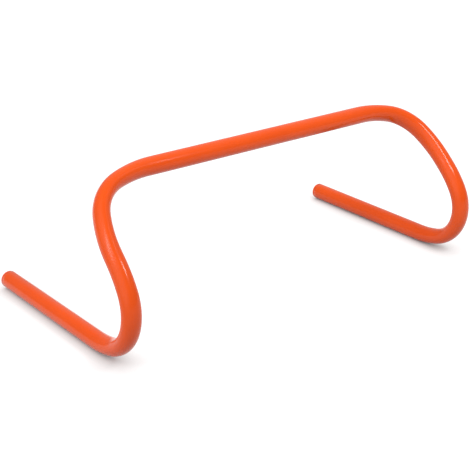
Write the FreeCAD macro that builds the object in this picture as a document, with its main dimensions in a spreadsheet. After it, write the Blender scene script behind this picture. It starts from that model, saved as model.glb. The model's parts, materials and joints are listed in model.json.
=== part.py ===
import FreeCAD, Part
import math
import os

import Sketcher
from FreeCAD import Placement, Rotation, Vector

# Speed hurdle: one plastic tube bent into a crossbar, two leaning legs and two long feet,
# with a ribbed plug pushed into the open end of each foot.
#
# Frame: +X along the crossbar, +Y from the front bends towards the foot ends, +Z up.
# The origin is on the floor, at the centre of the footprint. Millimetres and degrees.

SIZES = {
    # The tube.
    "tube_diameter": 19.0,
    "tube_wall": 2.0,
    # The tube's bending table, from the crossbar to the foot's end. Radii are of the centre line. A bend in
    # softened tube eases in and out: at each end it turns by the ease angle on the wider ease radius.
    "bar_straight": 282.0,
    "top_bend_radius": 52.0,
    "top_ease_radius": 130.0,
    "top_ease_angle": 18.0,
    "leg_straight": 7.0,
    "leg_lean": 44.0,  # angle between the floor and the plane of the crossbar and legs
    "leg_splay": 1.2,  # angle in that plane by which each leg spreads towards its foot
    "low_bend_radius": 45.5,
    "low_ease_radius": 114.0,
    "low_ease_angle": 15.0,
    "foot_straight": 177.0,
    # Bending flattens the round tube: halfway round a bend it is thinner in the bend's plane, and wider
    # across that plane, by these shares of its radius.
    "top_flattening_share": 0.13,
    "low_flattening_share": 0.08,
    # The plug's head: a short rim as wide as the tube, a rounded edge and a low dome.
    "head_rim": 1.0,
    "head_edge_radius": 3.0,
    "head_dome_rise": 0.6,
    # The ribs that grip the bore: barbs with a slope that leads in and a crest that touches the wall.
    "rib_count": 4,
    "rib_height": 1.25,
    "rib_slope": 1.2,
    "rib_crest": 0.6,
    "rib_gap": 1.6,
    "rib_clearance": 0.05,
    # The plug's stem: a cored spigot that carries the ribs and ends in a tapered nose.
    "stem_wall": 2.0,
    "stem_neck": 1.6,
    "stem_tail": 1.0,
    "stem_nose": 1.2,
    "stem_nose_share": 0.6,
}


def arc_ends(bend, turn):
    """How far ahead and aside of a bend's start each of its three arcs ends, as expressions."""
    radius = f"Sizes.{bend}_bend_radius"
    ease_radius = f"Sizes.{bend}_ease_radius"
    ease = f"(Sizes.{bend}_ease_angle * 1 deg)"
    late = f"({turn} - {ease})"
    arcs = [(ease_radius, "0 deg", ease), (radius, ease, late), (ease_radius, late, turn)]
    ends = []
    ahead, aside = "0", "0"
    for arc_radius, start, end in arcs:
        ahead = f"({ahead} + {arc_radius} * (sin({end}) - sin({start})))"
        aside = f"({aside} + {arc_radius} * (cos({start}) - cos({end})))"
        ends.append((ahead, aside))
    return ends


# Lengths that follow from the sizes, as expressions for the document.
TUBE_RADIUS = "(Sizes.tube_diameter / 2)"
BORE_RADIUS = f"({TUBE_RADIUS} - Sizes.tube_wall)"
HALF_BAR = "(Sizes.bar_straight / 2)"
# A leg's angle to its foot, and the tilt from upright of the plane that the leg and its foot share.
LEG_SLOPE = "acos(cos(Sizes.leg_splay) * cos(Sizes.leg_lean))"
BEND_TILT = "atan(tan(Sizes.leg_splay) / sin(Sizes.leg_lean))"
LOW_TURN = f"(180 deg - {LEG_SLOPE})"
TOP_TURN = "(90 deg - Sizes.leg_splay * 1 deg)"
LOW_ARC_ENDS = arc_ends("low", LOW_TURN)
TOP_ARC_ENDS = arc_ends("top", TOP_TURN)
LOW_BEND_REACH, LOW_BEND_RISE = LOW_ARC_ENDS[-1]
TOP_BEND_REACH, TOP_BEND_DROP = TOP_ARC_ENDS[-1]
LEG_START_BACK = f"(-{LOW_BEND_REACH})"
LEG_START_UP = f"({TUBE_RADIUS} + {LOW_BEND_RISE} * cos({BEND_TILT}))"
LEG_END_ACROSS = f"({HALF_BAR} + {TOP_BEND_REACH})"
LEG_END_REACH = "(Sizes.leg_straight * cos(Sizes.leg_splay))"
LEG_START_ACROSS = f"({LEG_END_ACROSS} + Sizes.leg_straight * sin(Sizes.leg_splay))"
BAR_REACH = f"({LEG_END_REACH} + {TOP_BEND_DROP})"
HALF_SPACING = f"({LEG_START_ACROSS} + {LOW_BEND_RISE} * sin({BEND_TILT}))"
# The foremost point of the low bend is a quarter turn from the foot, on the main arc. The flattening grows
# and fades along the bend as a parabola.
LOW_EASE = "(Sizes.low_ease_angle * 1 deg)"
LOW_EASE_RUN = f"(Sizes.low_ease_radius * {LOW_EASE})"
FRONT_RUN = f"({LOW_EASE_RUN} + Sizes.low_bend_radius * (90 deg - {LOW_EASE}))"
LOW_BEND_RUN = f"(2 * {LOW_EASE_RUN} + Sizes.low_bend_radius * ({LOW_TURN} - 2 * {LOW_EASE}))"
FRONT_SHARE = f"({FRONT_RUN} / {LOW_BEND_RUN})"
FRONT_FLATTENING = f"(Sizes.low_flattening_share * 4 * {FRONT_SHARE} * (1 - {FRONT_SHARE}))"
FRONT_CENTRE = f"(Sizes.low_ease_radius * sin({LOW_EASE}) + Sizes.low_bend_radius * (1 - sin({LOW_EASE})))"
FRONT_REACH = f"({FRONT_CENTRE} + {TUBE_RADIUS} * (1 - {FRONT_FLATTENING}))"
DOME_HEIGHT = "(Sizes.head_edge_radius + Sizes.head_dome_rise)"
HEAD_HEIGHT = f"(Sizes.head_rim + {DOME_HEIGHT})"
RIB_RADIUS = f"({BORE_RADIUS} - Sizes.rib_clearance)"
RIB_PITCH = "(Sizes.rib_slope + Sizes.rib_crest + Sizes.rib_gap)"
STEM_RADIUS = f"({RIB_RADIUS} - Sizes.rib_height)"
CORE_RADIUS = f"({STEM_RADIUS} - Sizes.stem_wall)"
TAIL_START = f"(Sizes.stem_neck + Sizes.rib_count * {RIB_PITCH} - Sizes.rib_gap)"
NOSE_START = f"({TAIL_START} + Sizes.stem_tail)"
STEM_LENGTH = f"({NOSE_START} + Sizes.stem_nose)"
# The sub-parts are drawn with y = 0 where the foot leaves its bend. This moves the footprint's centre to 0.
TO_CENTRE = f"(({FRONT_REACH} - Sizes.foot_straight - {HEAD_HEIGHT}) / 2)"

# A sketch's own codes: its axes, its origin, and the ends and centre of a line or arc.
FLAT_AXIS, UPRIGHT_AXIS = range(-1, -3, -1)
START, END, CENTRE = range(1, 4)
ORIGIN = (FLAT_AXIS, START)

# The arcs of a bend in its path, from the straight run to the leg, and where its sections lie: on which arc,
# and how far along it from its end towards the leg.
BEND_EDGES = ["Edge2", "Edge3", "Edge4"]
SECTION_SHARES = {"Leg": ("Edge4", 0), "Middle": ("Edge3", 1 / 2), "Run": ("Edge2", 1)}

# How far a volume may be from the one worked out by hand.
VOLUME_SHARE = 1e-4


def make_sheet(doc):
    """Put the driving sizes in a spreadsheet, one aliased cell each."""
    sheet = doc.addObject("Spreadsheet::Sheet", "Sizes")
    for row, (name, size) in enumerate(SIZES.items(), start=1):
        sheet.set(f"A{row}", name)
        sheet.set(f"B{row}", str(size))
        sheet.setAlias(f"B{row}", name)
    doc.recompute()
    return sheet


def value(thing, expression):
    """The present number of an expression."""
    return float(thing.evalExpression(expression))


def origin_plane(body, role):
    """One of a body's own origin planes."""
    return next(plane for plane in body.Origin.OriginFeatures if plane.Role == role)


def new_sketch(body, name, role):
    """An empty sketch on one of the body's origin planes."""
    sketch = body.newObject("Sketcher::SketchObject", name)
    sketch.AttachmentSupport = [(origin_plane(body, role), "")]
    sketch.MapMode = "FlatFace"
    return sketch


def bind(sketch, kind, *where, expression):
    """Add a dimension to a sketch and tie it to an expression."""
    index = sketch.addConstraint(Sketcher.Constraint(kind, *where, value(sketch, expression)))
    sketch.setExpression(f"Constraints[{index}]", expression)


def tie_point(sketch, geometry, end, across, up):
    """Hold one point of a sketch at two expressions from the sketch's origin, or on an axis for "0"."""
    for kind, axis, expression in (("DistanceX", UPRIGHT_AXIS, across), ("DistanceY", FLAT_AXIS, up)):
        if expression == "0":
            sketch.addConstraint(Sketcher.Constraint("PointOnObject", geometry, end, axis))
        else:
            bind(sketch, kind, *ORIGIN, geometry, end, expression=expression)


def arc_between(start, end, radius):
    """The shorter arc of a radius that runs counter-clockwise from start to end."""
    chord = end - start
    inward = Vector(-chord.y, chord.x, 0).normalize()
    depth = math.sqrt(radius**2 - (chord.Length / 2) ** 2)
    centre = (start + end) / 2 + inward * depth
    return Part.Arc(start, centre - inward * radius, end)


def draw_stretch(sketch, start, end, radius=None, turn="straight"):
    """Draw one line, or one arc that turns left or right, and return it with its first and last ends."""
    if turn == "left":
        return sketch.addGeometry(arc_between(start, end, value(sketch, radius))), START, END
    if turn == "right":
        return sketch.addGeometry(arc_between(end, start, value(sketch, radius))), END, START
    return sketch.addGeometry(Part.LineSegment(start, end)), START, END


def draw_chain(sketch, corners, closed=False):
    """Draw lines and arcs from corner to corner.

    A corner is a pair of expressions. One that an arc leaves also has the arc's radius and its turn.
    """
    spots = [Vector(value(sketch, across), value(sketch, up), 0) for across, up, *_ in corners]
    followers = spots[1:] + spots[:1] if closed else spots[1:]
    pieces = []
    for (across, up, *arc), start, end in zip(corners, spots, followers):
        geometry, first, last = draw_stretch(sketch, start, end, *arc)
        pieces.append((geometry, first, last))
        tie_point(sketch, geometry, first, across, up)
        if arc:
            bind(sketch, "Radius", geometry, expression=arc[0])
    for (geometry, _, last), (following, first, _) in zip(pieces, pieces[1:]):
        sketch.addConstraint(Sketcher.Constraint("Coincident", geometry, last, following, first))
    geometry, _, last = pieces[-1]
    if closed:
        sketch.addConstraint(Sketcher.Constraint("Coincident", geometry, last, pieces[0][0], pieces[0][1]))
    else:
        tie_point(sketch, geometry, last, *corners[-1])


def draw_round(sketch, radius):
    """A circle about the sketch's origin."""
    circle = sketch.addGeometry(Part.Circle(Vector(), Vector(0, 0, 1), value(sketch, radius)))
    sketch.addConstraint(Sketcher.Constraint("Coincident", circle, CENTRE, *ORIGIN))
    bind(sketch, "Radius", circle, expression=radius)


def draw_flattened(sketch, radius, flattening):
    """A circle about the sketch's origin that is flattened to an ellipse, wide across and thin upwards."""
    wide, thin = f"({radius} + {flattening})", f"({radius} - {flattening})"
    tips = Vector(value(sketch, wide), 0, 0), Vector(0, value(sketch, thin), 0)
    ellipse = sketch.addGeometry(Part.Ellipse(*tips, Vector()))
    drawn = sketch.GeometryCount
    sketch.exposeInternalGeometry(ellipse)
    wide_axis, thin_axis, *_ = range(drawn, sketch.GeometryCount)
    sketch.addConstraint(Sketcher.Constraint("Coincident", ellipse, CENTRE, *ORIGIN))
    sketch.addConstraint(Sketcher.Constraint("Horizontal", wide_axis))
    bind(sketch, "Distance", wide_axis, expression=f"(2 * {wide})")
    bind(sketch, "Distance", thin_axis, expression=f"(2 * {thin})")


def bend_sections(doc, body, name, path, flattening_share):
    """The tube's outside and bore at both ends of a bend and, flattened alike, at its middle.

    Each sketch stands square to the path, with its x axis across the bend's plane.
    """
    flattening = f"({TUBE_RADIUS} * {flattening_share})"
    sections = {}
    for place, (edge, share) in SECTION_SHARES.items():
        section = body.newObject("Sketcher::SketchObject", f"{name}{place}Section")
        section.AttachmentSupport = [(path, edge)]
        section.MapMode = "FrenetNB"
        section.MapPathParameter = share
        section.AttachmentOffset = Placement(Vector(), Rotation(Vector(1, 0, 0), Vector(0, 1, 0)))
        for radius in (TUBE_RADIUS, BORE_RADIUS):
            if place == "Middle":
                draw_flattened(section, radius, flattening)
            else:
                draw_round(section, radius)
        sections[place] = section
    doc.recompute()
    return sections


def add_bend(body, name, path, sections):
    """Sweep a bend through its three sections, whose rings all have the same area."""
    first, *others = sections.values()
    bend = body.newObject("PartDesign::AdditivePipe", name)
    bend.Profile = (first, [""])
    bend.Spine = (path, BEND_EDGES)
    bend.Transformation = "Multisection"
    bend.Sections = [(section, [""]) for section in others]
    return bend


def add_run(body, name, section, length, onwards):
    """A straight run of the tube from one end of a bend; each section faces back towards the leg."""
    run = body.newObject("PartDesign::Pad", name)
    run.Profile = (section, [""])
    run.setExpression("Length", length)
    run.Reversed = onwards
    return run


def add_turned(doc, body, name, profile):
    """Revolve a half profile about its own upright axis."""
    turned = body.newObject("PartDesign::Revolution", name)
    turned.Profile = (profile, [""])
    turned.ReferenceAxis = (profile, ["V_Axis"])
    doc.recompute()
    return turned


def make_bent_tube(doc):
    """The whole tube: the runs and bends from the crossbar's middle to the foot's end, then mirrored."""
    body = doc.addObject("PartDesign::Body", "bent_tube")
    body.Label = "bent_tube"

    # Crossbar and leg lie in one plane that leans with the leg, so they share a flat path.
    arch_path = new_sketch(body, "ArchPath", "XY_Plane")
    arch_path.AttachmentOffset = Placement(Vector(), Rotation(Vector(1, 0, 0), SIZES["leg_lean"]))
    arch_path.setExpression("AttachmentOffset.Base.y", LEG_START_BACK)
    arch_path.setExpression("AttachmentOffset.Base.z", LEG_START_UP)
    arch_path.setExpression("AttachmentOffset.Rotation.Angle", "Sizes.leg_lean")
    ease_end, main_end, _ = [(f"({HALF_BAR} + {on})", f"({BAR_REACH} - {down})") for on, down in TOP_ARC_ENDS]
    draw_chain(
        arch_path,
        [
            ("0", BAR_REACH),
            (HALF_BAR, BAR_REACH, "Sizes.top_ease_radius", "right"),
            (*ease_end, "Sizes.top_bend_radius", "right"),
            (*main_end, "Sizes.top_ease_radius", "right"),
            (LEG_END_ACROSS, LEG_END_REACH),
            (LEG_START_ACROSS, "0"),
        ],
    )

    # Foot and low bend lie in a plane through the foot's centre line, tilted inwards with the splayed leg.
    side_path = new_sketch(body, "SidePath", "YZ_Plane")
    side_path.AttachmentOffset = Placement(Vector(), Rotation(Vector(-1, 0, 0), value(side_path, BEND_TILT)))
    side_path.setExpression("AttachmentOffset.Base.y", TUBE_RADIUS)
    side_path.setExpression("AttachmentOffset.Base.z", HALF_SPACING)
    side_path.setExpression("AttachmentOffset.Rotation.Angle", BEND_TILT)
    ease_end, main_end, bend_end = [(f"(-{on})", up) for on, up in LOW_ARC_ENDS]
    draw_chain(
        side_path,
        [
            ("Sizes.foot_straight", "0"),
            ("0", "0", "Sizes.low_ease_radius", "right"),
            (*ease_end, "Sizes.low_bend_radius", "right"),
            (*main_end, "Sizes.low_ease_radius", "right"),
            bend_end,
        ],
    )
    doc.recompute()

    top_sections = bend_sections(doc, body, "TopBend", arch_path, "Sizes.top_flattening_share")
    low_sections = bend_sections(doc, body, "LowBend", side_path, "Sizes.low_flattening_share")
    stretches = [
        add_run(body, "Bar", top_sections["Run"], HALF_BAR, onwards=True),
        add_bend(body, "TopBend", arch_path, top_sections),
        add_run(body, "Leg", top_sections["Leg"], "Sizes.leg_straight", onwards=False),
        add_bend(body, "LowBend", side_path, low_sections),
        add_run(body, "Foot", low_sections["Run"], "Sizes.foot_straight", onwards=True),
    ]
    doc.recompute()
    halves = body.newObject("PartDesign::Mirrored", "Halves")
    halves.Originals = stretches
    halves.MirrorPlane = (origin_plane(body, "YZ_Plane"), [""])
    body.Tip = halves
    body.setExpression("Placement.Base.y", TO_CENTRE)
    return body


def make_end_plug(doc, name, side):
    """A plug seated on the end of one foot; side is 1 for the right foot and -1 for the left one."""
    body = doc.addObject("PartDesign::Body", name)
    body.Label = name

    # Half profile about the vertical axis of the sketch, with the seat on the tube's end at 0.
    # The dome is the arc about the axis that meets the rounded edge without a kink.
    edge_across = f"({TUBE_RADIUS} - Sizes.head_edge_radius)"
    dome_radius = (
        f"(({edge_across}^2 + {DOME_HEIGHT}^2 - Sizes.head_edge_radius^2) / (2 * Sizes.head_dome_rise))"
    )
    dome_centre = f"({HEAD_HEIGHT} - {dome_radius})"
    meeting_share = f"({dome_radius} / ({dome_radius} - Sizes.head_edge_radius))"
    meeting_point = (
        f"({edge_across} * {meeting_share})",
        f"({dome_centre} + (Sizes.head_rim - {dome_centre}) * {meeting_share})",
    )
    corners = [
        ("0", "0"),
        (CORE_RADIUS, "0"),
        (CORE_RADIUS, f"-{STEM_LENGTH}"),
        (f"({STEM_RADIUS} - Sizes.stem_wall * Sizes.stem_nose_share)", f"-{STEM_LENGTH}"),
        (STEM_RADIUS, f"-{NOSE_START}"),
        (STEM_RADIUS, "0"),
        (TUBE_RADIUS, "0"),
        (TUBE_RADIUS, "Sizes.head_rim", "Sizes.head_edge_radius", "left"),
        (*meeting_point, dome_radius, "left"),
        ("0", HEAD_HEIGHT),
    ]
    profile = new_sketch(body, "PlugProfile", "XY_Plane")
    draw_chain(profile, corners, closed=True)

    rib_corners = [
        (CORE_RADIUS, f"-{TAIL_START}"),
        (STEM_RADIUS, f"-{TAIL_START}"),
        (RIB_RADIUS, f"(Sizes.rib_slope - {TAIL_START})"),
        (RIB_RADIUS, f"(Sizes.rib_slope + Sizes.rib_crest - {TAIL_START})"),
        (CORE_RADIUS, f"(Sizes.rib_slope + Sizes.rib_crest - {TAIL_START})"),
    ]
    rib_profile = new_sketch(body, "RibProfile", "XY_Plane")
    draw_chain(rib_profile, rib_corners, closed=True)
    doc.recompute()

    add_turned(doc, body, "HeadAndStem", profile)
    rib = add_turned(doc, body, "LastRib", rib_profile)
    ribs = body.newObject("PartDesign::LinearPattern", "Ribs")
    ribs.Originals = [rib]
    ribs.Direction = (rib_profile, ["V_Axis"])
    ribs.setExpression("Occurrences", "Sizes.rib_count")
    ribs.setExpression("Length", f"(Sizes.rib_count - 1) * {RIB_PITCH}")
    body.Tip = ribs

    body.setExpression("Placement.Base.x", f"{side} * {HALF_SPACING}")
    body.setExpression("Placement.Base.y", f"Sizes.foot_straight + {TO_CENTRE}")
    body.setExpression("Placement.Base.z", TUBE_RADIUS)
    return body


def check_document(doc, nodes):
    """Stop before anything is written if a feature failed or a sub-part isn't one sound solid."""
    for thing in doc.Objects:
        if "Invalid" in thing.State or "Error" in thing.State:
            raise RuntimeError(f"{thing.Name} failed: {thing.State}")
    for node in nodes:
        if node.Shape.isNull() or not node.Shape.isValid() or len(node.Shape.Solids) != 1:
            raise RuntimeError(f"{node.Label} isn't one valid solid")


def check_tube_volume(sheet, tube):
    """Compare the tube's volume with its ring section times the length of its centre line."""
    ring = math.pi * (value(sheet, TUBE_RADIUS) ** 2 - value(sheet, BORE_RADIUS) ** 2)
    straight = sheet.bar_straight / 2 + sheet.leg_straight + sheet.foot_straight
    bends = 0.0
    for turn, radius, ease_radius, ease in (
        (value(sheet, TOP_TURN), sheet.top_bend_radius, sheet.top_ease_radius, sheet.top_ease_angle),
        (value(sheet, LOW_TURN), sheet.low_bend_radius, sheet.low_ease_radius, sheet.low_ease_angle),
    ):
        bends += math.radians(turn - 2 * ease) * radius + math.radians(2 * ease) * ease_radius
    expected = 2 * ring * (straight + bends)
    print(f"bent_tube volume {tube.Shape.Volume:.1f}, expected {expected:.1f} cubic mm")
    if not math.isclose(tube.Shape.Volume, expected, rel_tol=VOLUME_SHARE):
        raise RuntimeError("the tube's volume isn't its section times its length")


def main():
    doc = FreeCAD.newDocument("SpeedHurdle")
    sheet = make_sheet(doc)
    tube = make_bent_tube(doc)
    left_plug = make_end_plug(doc, "left_end_plug", -1)
    right_plug = make_end_plug(doc, "right_end_plug", 1)
    doc.recompute()
    nodes = [tube, left_plug, right_plug]
    check_document(doc, nodes)
    check_tube_volume(sheet, tube)
    os.makedirs("parts", exist_ok=True)
    for node in nodes:
        node.Shape.exportStep(f"parts/{node.Label}.step")
        print(node.Label, node.Shape.optimalBoundingBox(False))


main()
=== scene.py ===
import json
import math
from collections import namedtuple

import bpy
from mathutils import Matrix, Vector


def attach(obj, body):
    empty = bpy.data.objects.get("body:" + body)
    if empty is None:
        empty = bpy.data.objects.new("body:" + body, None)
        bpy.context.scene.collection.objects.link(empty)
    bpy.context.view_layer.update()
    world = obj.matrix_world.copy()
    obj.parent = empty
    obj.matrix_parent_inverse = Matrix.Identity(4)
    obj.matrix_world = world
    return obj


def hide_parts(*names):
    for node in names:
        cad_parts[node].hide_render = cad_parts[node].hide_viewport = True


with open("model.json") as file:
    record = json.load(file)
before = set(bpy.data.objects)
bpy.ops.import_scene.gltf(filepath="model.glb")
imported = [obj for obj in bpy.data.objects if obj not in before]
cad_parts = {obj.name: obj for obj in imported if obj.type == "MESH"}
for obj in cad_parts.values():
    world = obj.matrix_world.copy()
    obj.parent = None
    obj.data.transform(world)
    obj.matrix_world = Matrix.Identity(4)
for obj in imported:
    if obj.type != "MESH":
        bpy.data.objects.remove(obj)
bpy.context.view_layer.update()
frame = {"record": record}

# A low speed hurdle: one orange plastic tube, bent hot, with a plug pushed into each of its ends.
# Metres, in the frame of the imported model: X along the crossbar, Y towards the foot ends, Z up.

FOOT = frame["record"]["mounts"][0]

# A bend eases in and out: at each end it turns by the ease angle on the wider ease radius. Halfway round,
# the tube is thinner in the bend's plane and wider across it by the flattening.
Bend = namedtuple("Bend", "radius ease_radius ease_angle flattening")

# The tube and its bending table, from the foot's end to the crossbar
TUBE_RADIUS = FOOT["dims"]["r_mm"] / 1000
TUBE_WALL = 0.002
HALF_SPACING = abs(FOOT["pos_m"][0])
FOOT_STRAIGHT = FOOT["dims"]["length_mm"] / 1000
FOOT_END = FOOT["pos_m"][1] + FOOT_STRAIGHT / 2
LOW_BEND = Bend(
    radius=0.0455,
    ease_radius=0.114,
    ease_angle=math.radians(15),
    flattening=0.08 * TUBE_RADIUS,
)
LEG_STRAIGHT = 0.007
LEG_LEAN = math.radians(44)  # between the floor and the plane of the crossbar and legs
LEG_SPLAY = math.radians(1.2)  # in that plane, towards the foot
TOP_BEND = Bend(
    radius=0.052,
    ease_radius=0.130,
    ease_angle=math.radians(18),
    flattening=0.13 * TUBE_RADIUS,
)
CUT_EDGE = 0.0003  # bevel of the sawn tube ends, shaded as a rounding

# Angles that follow: the leg's slope against its foot, the tilt of their shared plane, and the small roll
# between that plane and the crossbar's
LEG_SLOPE = math.acos(math.cos(LEG_SPLAY) * math.cos(LEG_LEAN))
BEND_TILT = math.atan(math.tan(LEG_SPLAY) / math.sin(LEG_LEAN))
LEG_ROLL = -math.asin(math.cos(LEG_LEAN) * math.sin(BEND_TILT))
LOW_TURN = math.pi - LEG_SLOPE
TOP_TURN = math.pi / 2 - LEG_SPLAY

# The plugs, turned about the foot's centre line, with the seat on the tube's end at zero
HEAD_RIM = 0.0010  # height of the head's straight side
HEAD_EDGE_RADIUS = 0.0030
HEAD_RISE = 0.0006  # of the dome, above the rounded edge
SEAM_EDGE = 0.00025  # rounding of the head where it meets the tube
GATE_RADIUS = 0.0011  # the mark that the mould's gate leaves on the head
GATE_DEPTH = 0.00015
RIB_COUNT = 4
RIB_CLEARANCE = 0.00005  # between a pressed rib and the bore
RIB_RADIUS = TUBE_RADIUS - TUBE_WALL - RIB_CLEARANCE
RIB_HEIGHT = 0.00125
RIB_SLOPE = 0.0012  # this and the next two are lengths along the stem
RIB_CREST = 0.0006
RIB_GAP = 0.0016
STEM_RADIUS = RIB_RADIUS - RIB_HEIGHT
STEM_WALL = 0.0020
STEM_NECK = 0.0016  # from the head to the nearest rib
STEM_TAIL = 0.0010  # from the last rib to the nose
STEM_NOSE = 0.0012
NOSE_SHARE = 0.6  # of the stem's wall, cut away at the tip

# How finely the meshes are divided
RING_STEP = 0.004
EASE_RINGS = 2  # rings each way over which the flattening starts and ends
TUBE_SIDES = 72
PLUG_SIDES = 96
ARC_STEPS = 8
DOME_STEPS = 6
SHARP_ANGLE = math.radians(50)  # faces that meet at more than this show an edge

# A place of the tube's section, and how much the section is squeezed there along its own X axis
Step = namedtuple("Step", "place squeeze")
# A ring of points round such a place, with its distance along the tube and its radius
Ring = namedtuple("Ring", "place along radius squeeze")


def step_run(place, length, roll=0.0):
    """Steps along a straight run from a place, with the section rolled evenly on the way."""
    count = math.ceil(length / RING_STEP)
    for i in range(1, count + 1):
        turned = Matrix.Rotation(roll * i / count, 4, "Z")
        yield Step(place @ Matrix.Translation((0, 0, length * i / count)) @ turned, 0.0)


def step_bend(place, bend, turn, towards):
    """Steps round a bend from a place, towards the section's own X or Y axis."""
    if towards == "X":
        inward, axis, sense = Vector((1, 0, 0)), "Y", 1
    else:
        inward, axis, sense = Vector((0, 1, 0)), "X", -1
    ease = (bend.ease_radius, bend.ease_angle)
    arcs = [ease, (bend.radius, turn - 2 * bend.ease_angle), ease]
    whole = sum(radius * angle for radius, angle in arcs)
    done = 0.0
    for radius, angle in arcs:
        count = math.ceil(radius * angle / RING_STEP)
        to_centre = Matrix.Translation(radius * inward)
        from_centre = Matrix.Translation(-radius * inward)
        for i in range(1, count + 1):
            swing = Matrix.Rotation(sense * angle * i / count, 4, axis)
            share = (done + radius * angle * i / count) / whole
            hump = 4 * share * (1 - share)  # 0 at both ends of the bend, 1 halfway round
            step = Step(place @ to_centre @ swing @ from_centre, sense * bend.flattening * hump)
            yield step
        place = step.place
        done += radius * angle


def tube_steps():
    """Steps from the left foot's end to the right's, with the section's own Z axis along the tube."""
    heading_front = Matrix(((1, 0, 0), (0, 0, -1), (0, 1, 0))).to_4x4()
    start = Matrix.Translation((-HALF_SPACING, FOOT_END, TUBE_RADIUS)) @ heading_front
    half = [Step(start @ Matrix.Rotation(-BEND_TILT, 4, "Z"), 0.0)]
    half += step_run(half[-1].place, FOOT_STRAIGHT)
    half += step_bend(half[-1].place, LOW_BEND, LOW_TURN, "Y")
    half += step_run(half[-1].place, LEG_STRAIGHT, LEG_ROLL)
    half += step_bend(half[-1].place, TOP_BEND, TOP_TURN, "X")
    half += step_run(half[-1].place, -half[-1].place.translation.x)
    mirror, turn_back = Matrix.Diagonal((-1, 1, 1, 1)), Matrix.Diagonal((1, 1, -1, 1))
    return half + [Step(mirror @ place @ turn_back, squeeze) for place, squeeze in half[-2::-1]]


def eased(values, reach):
    """Each value's mean with its neighbours, up to that many on both sides."""
    windows = [values[max(0, i - reach):i + reach + 1] for i in range(len(values))]
    return [sum(window) / len(window) for window in windows]


def tube_rings():
    """Rings along the tube's outside and back along its bore, with the sawn edges bevelled."""
    steps = tube_steps()
    squeezes = eased([step.squeeze for step in steps], EASE_RINGS)
    along = [0.0]
    for before, after in zip(steps, steps[1:]):
        along.append(along[-1] + (after.place.translation - before.place.translation).length)
    sides = []
    for radius, into_wall in ((TUBE_RADIUS, -CUT_EDGE), (TUBE_RADIUS - TUBE_WALL, CUT_EDGE)):
        rings = []
        for step, at, squeeze in zip(steps, along, squeezes):
            rings.append(Ring(step.place, at, radius, squeeze))
        for end, sense in ((0, 1), (-1, -1)):
            place, at, _, _ = rings[end]
            back = Matrix.Translation((0, 0, sense * CUT_EDGE))
            rings[end] = Ring(place @ back, at + sense * CUT_EDGE, radius, 0.0)
            rings.insert(0 if end == 0 else len(rings), Ring(place, at, radius + into_wall, 0.0))
        sides.append(rings)
    outside, inside = sides
    return outside + inside[::-1]


def new_object(name, verts, faces, sharp_angle):
    """An object with smooth faces, split where they meet at more than the sharp angle."""
    mesh = bpy.data.meshes.new(name)
    mesh.from_pydata(verts, [], faces)
    mesh.shade_smooth()
    mesh.set_sharp_from_angle(angle=sharp_angle)
    made = bpy.data.objects.new(name, mesh)
    bpy.context.scene.collection.objects.link(made)
    return made


def store_vectors(made, name, vectors):
    """Keeps a vector for each vertex, which the material reads by this name."""
    attribute = made.data.attributes.new(name, "FLOAT_VECTOR", "POINT")
    attribute.data.foreach_set("vector", [number for vector in vectors for number in vector])


def make_tube():
    """The bent tube as one closed skin of quads, whose points keep their places on the straight tube."""
    rings = tube_rings()
    verts = []
    unbent = []
    for ring in rings:
        for j in range(TUBE_SIDES):
            angle = 2 * math.pi * j / TUBE_SIDES
            x = (ring.radius - ring.squeeze) * math.cos(angle)
            y = (ring.radius + ring.squeeze) * math.sin(angle)
            verts.append(ring.place @ Vector((x, y, 0)))
            unbent.append((x, y, ring.along))
    faces = []
    for i in range(len(rings)):
        here, there = i * TUBE_SIDES, (i + 1) % len(rings) * TUBE_SIDES
        for j in range(TUBE_SIDES):
            k = (j + 1) % TUBE_SIDES
            faces.append((here + j, here + k, there + k, there + j))
    tube = new_object("orange_tube", verts, faces, SHARP_ANGLE)
    store_vectors(tube, "unbent", unbent)
    return tube


def arc(centre, radius, start, end, steps):
    """Points (across, up) on an arc between two angles from the across axis, both ends included."""
    angles = [start + (end - start) * i / steps for i in range(steps + 1)]
    return [(centre[0] + radius * math.cos(a), centre[1] + radius * math.sin(a)) for a in angles]


def head_profile():
    """The plug's head from its seat to its axis: seam edge, rim, rounded edge, low dome, gate mark."""
    quarter = math.pi / 2
    edge_across = TUBE_RADIUS - HEAD_EDGE_RADIUS
    dome_height = HEAD_EDGE_RADIUS + HEAD_RISE
    dome_radius = (edge_across ** 2 + dome_height ** 2 - HEAD_EDGE_RADIUS ** 2) / (2 * HEAD_RISE)
    dome_centre = HEAD_RIM + dome_height - dome_radius
    meeting_angle = math.atan2(HEAD_RIM - dome_centre, edge_across)
    gate_angle = math.acos(GATE_RADIUS / dome_radius)
    seam = arc((TUBE_RADIUS - SEAM_EDGE, SEAM_EDGE), SEAM_EDGE, -quarter, 0, ARC_STEPS // 2)
    edge = arc((edge_across, HEAD_RIM), HEAD_EDGE_RADIUS, 0, meeting_angle, ARC_STEPS)
    dome = arc((0, dome_centre), dome_radius, meeting_angle, gate_angle, DOME_STEPS)
    gate_up = dome[-1][1] - GATE_DEPTH
    return [*seam, *edge, *dome[1:], (GATE_RADIUS - GATE_DEPTH, gate_up), (0, gate_up)]


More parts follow.
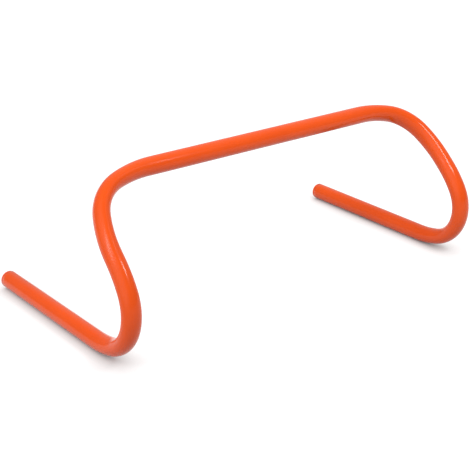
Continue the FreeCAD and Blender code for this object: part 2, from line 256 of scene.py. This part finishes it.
def stem_profile():
    """The plug's stem from its axis to its seat: the core, the tapered nose and the gripping ribs."""
    core = STEM_RADIUS - STEM_WALL
    pitch = RIB_SLOPE + RIB_CREST + RIB_GAP
    tail = -(STEM_NECK + RIB_COUNT * pitch - RIB_GAP)
    tip = tail - STEM_TAIL - STEM_NOSE
    points = [(0, 0), (core, 0), (core, tip), (STEM_RADIUS - STEM_WALL * NOSE_SHARE, tip)]
    points.append((STEM_RADIUS, tail - STEM_TAIL))
    for i in range(RIB_COUNT):
        foot = tail + i * pitch
        points.append((STEM_RADIUS, foot))
        points.append((RIB_RADIUS, foot + RIB_SLOPE))
        points.append((RIB_RADIUS, foot + RIB_SLOPE + RIB_CREST))
        points.append((STEM_RADIUS, foot + RIB_SLOPE + RIB_CREST))
    return [*points, (STEM_RADIUS, 0)]


def make_plug(name, side):
    """A plug turned from its profile and seated on a foot's end: side 1 is the right, -1 the left."""
    profile = stem_profile() + head_profile()
    inner = profile[1:-1]
    seat = Matrix.Translation((side * HALF_SPACING, FOOT_END, TUBE_RADIUS))
    verts = [seat @ Vector((0, up, 0)) for _, up in (profile[0], profile[-1])]
    first = len(verts)
    for across, up in inner:
        for j in range(PLUG_SIDES):
            angle = 2 * math.pi * j / PLUG_SIDES
            verts.append(seat @ Vector((across * math.sin(angle), up, across * math.cos(angle))))
    last = len(verts) - PLUG_SIDES
    faces = []
    for j in range(PLUG_SIDES):
        k = (j + 1) % PLUG_SIDES
        faces.append((0, first + k, first + j))
        faces.append((1, last + j, last + k))
        for here in range(first, last, PLUG_SIDES):
            there = here + PLUG_SIDES
            faces.append((here + j, here + k, there + k, there + j))
    return new_object(name, verts, faces, SHARP_ANGLE)


# Most of a noise pattern's values lie between these
NOISE_LOW = 0.3
NOISE_HIGH = 0.7


def add(tree, kind, inputs, **settings):
    """A shader node, with each named input set to a value or linked to another node's socket."""
    node = tree.nodes.new("ShaderNode" + kind)
    for name, value in settings.items():
        setattr(node, name, value)
    for name, value in inputs.items():
        if isinstance(value, bpy.types.NodeSocket):
            tree.links.new(value, node.inputs[name])
        else:
            node.inputs[name].default_value = value
    return node


def noise(tree, place, pattern):
    """The values of a noise pattern over the places."""
    scale = [pattern.lumps * factor for factor in pattern.crowding]
    mapped = add(tree, "Mapping", {"Vector": place, "Scale": scale})
    texture = add(tree, "TexNoise", {"Vector": mapped.outputs[0], "Scale": 1.0, "Detail": pattern.detail})
    return texture.outputs["Fac"]


def spread(tree, value, low, high, start=NOISE_LOW, end=NOISE_HIGH):
    """The value's range from start to end, spread from low to high and held there past both."""
    limits = {"Value": value, "From Min": start, "From Max": end, "To Min": low, "To Max": high}
    return add(tree, "MapRange", limits).outputs["Result"]


def math_node(tree, operation, first, second):
    """The sum, the product or the larger of two values."""
    return add(tree, "Math", {0: first, 1: second}, operation=operation).outputs[0]


def mixed(tree, first, share, second):
    """The first value by its share, plus the second by the rest."""
    part = math_node(tree, "MULTIPLY", first, share)
    return math_node(tree, "ADD", part, math_node(tree, "MULTIPLY", second, 1 - share))


def ramp(tree, value, colours):
    """The value as a colour, from the first colour at 0 to the last at 1, evenly spaced."""
    node = add(tree, "ValToRGB", {"Fac": value})
    while len(node.color_ramp.elements) < len(colours):
        node.color_ramp.elements.new(0.5)
    for i, colour in enumerate(colours):
        node.color_ramp.elements[i].position = i / (len(colours) - 1)
        node.color_ramp.elements[i].color = (*colour, 1)
    return node.outputs["Color"]


def new_tree(owner):
    """The emptied node tree of a material or world."""
    owner.use_nodes = True
    owner.node_tree.nodes.clear()
    return owner.node_tree


# A noise pattern: its lumps to the metre, a factor on them along each axis, and its levels of detail
Pattern = namedtuple("Pattern", "lumps crowding detail")
EVEN = (1, 1, 1)

# The orange of tube and plugs, from its deepest to its lightest tint
ORANGES = ((0.84, 0.084, 0.004), (0.87, 0.090, 0.005), (0.90, 0.096, 0.006))
GLOSS_LEVEL = 0.26

# The tube's plastic; its patterns lie on the straight tube, which runs along their Z axis
CLOUD = Pattern(lumps=28.0, crowding=EVEN, detail=4.0)
DIE_LINES = Pattern(lumps=900.0, crowding=(1, 1, 0.01), detail=2.0)
SMEAR = Pattern(lumps=35.0, crowding=(1, 1, 0.5), detail=5.0)
PEEL = Pattern(lumps=420.0, crowding=EVEN, detail=1.0)
TINT_CLOUD_SHARE = 0.7  # the die lines make the rest of the tint
RELIEF_LINE_SHARE = 0.4  # the peel makes the rest of the relief
SMEAR_ROUGHNESS = (0.14, 0.20)
LINE_ROUGHNESS = (-0.01, 0.01)  # added to that of the smears
TUBE_RELIEF = {"Strength": 0.12, "Distance": 0.00005}

# The scuff under the feet, in the hurdle's own frame
SCRATCHES = Pattern(lumps=700.0, crowding=(1, 0.2, 1), detail=4.0)
SCRATCH_EDGE = (0.45, 0.60)  # of the pattern's values
SCUFF_HEIGHT = 0.0009  # above the floor
SCUFF_ROUGHNESS = 0.25

# The plugs' plastic
PLUG_CLOUD = Pattern(lumps=120.0, crowding=EVEN, detail=3.0)
GRAIN = Pattern(lumps=2600.0, crowding=EVEN, detail=2.0)
PLUG_ROUGHNESS = (0.36, 0.46)
PLUG_RELIEF = {"Strength": 0.3, "Distance": 0.00004}


def finish_plastic(tree, tint, roughness, height, relief):
    """Orange plastic with that tint, roughness and fine relief as what the tree shows."""
    bump = add(tree, "Bump", {"Height": height, **relief})
    shader = add(tree, "BsdfPrincipled", {
        "Base Color": ramp(tree, spread(tree, tint, 0.0, 1.0), ORANGES),
        "Specular IOR Level": GLOSS_LEVEL,
        "Roughness": roughness,
        "Normal": bump.outputs["Normal"],
    })
    add(tree, "OutputMaterial", {"Surface": shader.outputs[0]})


def floor_scuff(tree):
    """1 on the scratches along the lines where the feet rest on the floor, fading to 0 above them."""
    place = add(tree, "TexCoord", {}).outputs["Object"]
    height = add(tree, "SeparateXYZ", {"Vector": place}).outputs["Z"]
    nearness = spread(tree, height, 1.0, 0.0, 0.0, SCUFF_HEIGHT)
    scratches = noise(tree, place, SCRATCHES)
    return math_node(tree, "MULTIPLY", nearness, spread(tree, scratches, 0.0, 1.0, *SCRATCH_EDGE))


def tube_plastic():
    """Extruded plastic: cloudy pigment, lengthwise die lines, smears of handling, a scuffed underside."""
    material = bpy.data.materials.new("orange_tube_plastic")
    tree = new_tree(material)
    unbent = add(tree, "Attribute", {}, attribute_name="unbent").outputs["Vector"]
    cloud = noise(tree, unbent, CLOUD)
    lines = noise(tree, unbent, DIE_LINES)
    smear = noise(tree, unbent, SMEAR)
    peel = noise(tree, unbent, PEEL)
    tint = mixed(tree, cloud, TINT_CLOUD_SHARE, lines)
    smeared = spread(tree, smear, *SMEAR_ROUGHNESS)
    handled = math_node(tree, "ADD", smeared, spread(tree, lines, *LINE_ROUGHNESS))
    scuffed = math_node(tree, "MULTIPLY", floor_scuff(tree), SCUFF_ROUGHNESS)
    roughness = math_node(tree, "ADD", handled, scuffed)
    height = mixed(tree, lines, RELIEF_LINE_SHARE, peel)
    finish_plastic(tree, tint, roughness, height, TUBE_RELIEF)
    return material


def plug_plastic():
    """Moulded plastic: an even colour with a fine grain, a little more matt than the tube."""
    material = bpy.data.materials.new("orange_plug_plastic")
    tree = new_tree(material)
    place = add(tree, "TexCoord", {}).outputs["Object"]
    cloud = noise(tree, place, PLUG_CLOUD)
    grain = noise(tree, place, GRAIN)
    finish_plastic(tree, cloud, spread(tree, grain, *PLUG_ROUGHNESS), grain, PLUG_RELIEF)
    return material


# The floor bounces light as a grey one, and glows for rays that show it to the eye, so it looks white
FLOOR_SIDE = 400.0
FLOOR_GREY = 0.40
FLOOR_GLOW = 0.80
PAINTED_SHADOW_REACH = 0.05  # how far from the hurdle the floor's glow is darkened, as a painted contact shadow


def seen_directly(tree):
    """1 for rays that show a surface to the eye, also mirrored or through glass, and 0 for others."""
    path = add(tree, "LightPath", {}).outputs
    either = math_node(tree, "MAXIMUM", path["Is Camera Ray"], path["Is Glossy Ray"])
    return math_node(tree, "MAXIMUM", either, path["Is Transmission Ray"])


def make_floor():
    """A plain floor that shows white to the eye, with the hurdle's real shadow in its grey bounce and a
    painted contact shadow in its glow.
    """
    half = FLOOR_SIDE / 2
    corners = [(-half, -half, 0), (half, -half, 0), (half, half, 0), (-half, half, 0)]
    floor = new_object("floor", corners, [(0, 1, 2, 3)], math.pi)
    material = bpy.data.materials.new("white_floor")
    tree = new_tree(material)
    matt = add(tree, "BsdfDiffuse", {"Color": (FLOOR_GREY, FLOOR_GREY, FLOOR_GREY, 1)})
    # The glow is darkened where the floor is occluded near the hurdle: a painted contact shadow
    painted_shadow = add(tree, "AmbientOcclusion", {"Distance": PAINTED_SHADOW_REACH}).outputs["AO"]
    brightness = math_node(tree, "MULTIPLY", painted_shadow, FLOOR_GLOW)
    strength = math_node(tree, "MULTIPLY", seen_directly(tree), brightness)
    glow = add(tree, "Emission", {"Strength": strength})
    both = add(tree, "AddShader", {0: matt.outputs[0], 1: glow.outputs[0]})
    add(tree, "OutputMaterial", {"Surface": both.outputs[0]})
    floor.data.materials.append(material)


# A broad light far from the hurdle: the direction of its middle, its brightness, and the angles from its
# middle where its fading starts and ends, all in degrees
Panel = namedtuple("Panel", "turn rise brightness full faded")
PANELS = (
    Panel(turn=-105, rise=30, brightness=1.05, full=20, faded=58),
    Panel(turn=60, rise=40, brightness=0.43, full=15, faded=52),
)
ROOM = 0.45  # brightness all round, which the panels add to
WHITE = (1.0, 1.0, 1.0, 1.0)


def heading(turn, rise):
    """The direction at a turn from +Y towards +X and a rise from level, in degrees."""
    turn, rise = math.radians(turn), math.radians(rise)
    return Vector((math.sin(turn) * math.cos(rise), math.cos(turn) * math.cos(rise), math.sin(rise)))


def make_world():
    """A plain room with two broad, soft-edged panels of light, at the left and at the right rear."""
    world = bpy.data.worlds.new("studio")
    tree = new_tree(world)
    way = add(tree, "TexCoord", {}).outputs["Generated"]
    strength = ROOM
    for panel in PANELS:
        middle = heading(panel.turn, panel.rise)
        nearness = add(tree, "VectorMath", {0: way, 1: middle}, operation="DOT_PRODUCT").outputs["Value"]
        edges = math.cos(math.radians(panel.faded)), math.cos(math.radians(panel.full))
        strength = math_node(tree, "ADD", strength, spread(tree, nearness, 0.0, panel.brightness, *edges))
    sky = add(tree, "Background", {"Color": WHITE, "Strength": strength})
    add(tree, "OutputWorld", {"Surface": sky.outputs[0]})
    bpy.context.scene.world = world


# A flat lamp, aimed at a point and rolled about the line to it; roll and beam in degrees
Lamp = namedtuple("Lamp", "name place aim length width roll beam watts")
LAMPS = (
    Lamp(
        name="key_lamp",
        place=(-0.63, -0.22, 0.62),
        aim=(-0.20, 0.02, 0.12),
        length=0.55,
        width=0.12,
        roll=42,
        beam=60,
        watts=0.17,
    ),
    Lamp(
        name="right_lamp",
        place=(0.24, -0.61, 0.77),
        aim=(0.00, 0.00, 0.10),
        length=0.20,
        width=0.20,
        roll=0,
        beam=180,
        watts=2.5,
    ),
)


def make_lamp(lamp):
    """One of the lamps that make the streaks on the legs."""
    data = bpy.data.lights.new(lamp.name, "AREA")
    data.shape = "RECTANGLE"
    data.size = lamp.length
    data.size_y = lamp.width
    data.spread = math.radians(lamp.beam)
    data.energy = lamp.watts
    made = bpy.data.objects.new(lamp.name, data)
    aim = (Vector(lamp.aim) - Vector(lamp.place)).to_track_quat("-Z", "Y").to_matrix().to_4x4()
    roll = Matrix.Rotation(math.radians(lamp.roll), 4, "Z")
    made.matrix_world = Matrix.Translation(lamp.place) @ aim @ roll
    bpy.context.scene.collection.objects.link(made)


# The camera's place and direction
EYE = (-0.73819, -0.93312, 0.53704)
EYE_AZIMUTH = math.radians(-37.965)
EYE_DOWN = math.radians(22.493)
LENS_MM = 89.108
SENSOR_MM = 36.0


def make_camera():
    """The camera at the viewing angle, not rolled, looking down on the hurdle's left front."""
    data = bpy.data.cameras.new("camera")
    data.lens = LENS_MM
    data.sensor_width = SENSOR_MM
    camera = bpy.data.objects.new("camera", data)
    camera.location = EYE
    camera.rotation_euler = (math.pi / 2 - EYE_DOWN, 0, EYE_AZIMUTH)
    bpy.context.scene.collection.objects.link(camera)
    bpy.context.scene.camera = camera


def dress(piece, node, material):
    """Puts a piece in the place of its CAD node, on the one body, with its material and slot."""
    piece.data.materials.append(material)
    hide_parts(node)
    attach(piece, "root")


dress(make_tube(), "bent_tube", tube_plastic())
moulded = plug_plastic()
for side, word in ((-1, "left"), (1, "right")):
    dress(make_plug(word + "_plug", side), word + "_end_plug", moulded)

make_floor()
make_world()
for lamp in LAMPS:
    make_lamp(lamp)
make_camera()
bpy.context.scene.view_settings.view_transform = "Standard"
